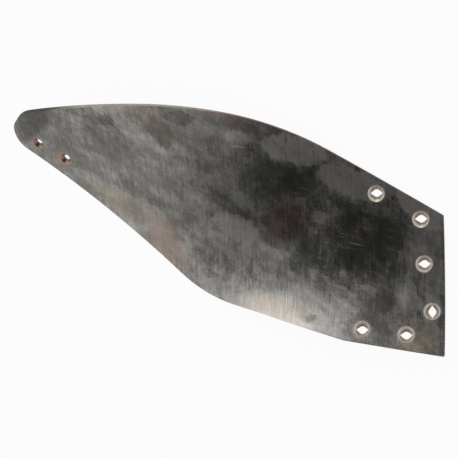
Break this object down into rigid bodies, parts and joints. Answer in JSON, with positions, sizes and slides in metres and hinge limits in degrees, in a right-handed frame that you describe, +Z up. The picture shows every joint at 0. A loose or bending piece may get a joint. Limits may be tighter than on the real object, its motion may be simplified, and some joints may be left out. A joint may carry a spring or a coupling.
{
  "type": "plough mouldboard",
  "caption": "Hollow, twisted steel mouldboard plate for a plough, with countersunk bolt holes along its front and a rounded tail, lying on its convex back.",
  "frame": {"origin": "on the ground, under the middle of the plate as it lies on its convex back", "axes": "+X from the tail to the front seam, +Y from the share side to the crown side, +Z up out of the hollow working face"},
  "size_m": [0.7396, 0.2756, 0.0765],
  "materials": {
    "plate_steel": "worn hot-pressed steel: dark mottled mill scale rubbed to grey, with light rust at the edges"
  },
  "bodies": {
    "root": {"mouldboard": "plate_steel"}
  },
  "joints": []
}
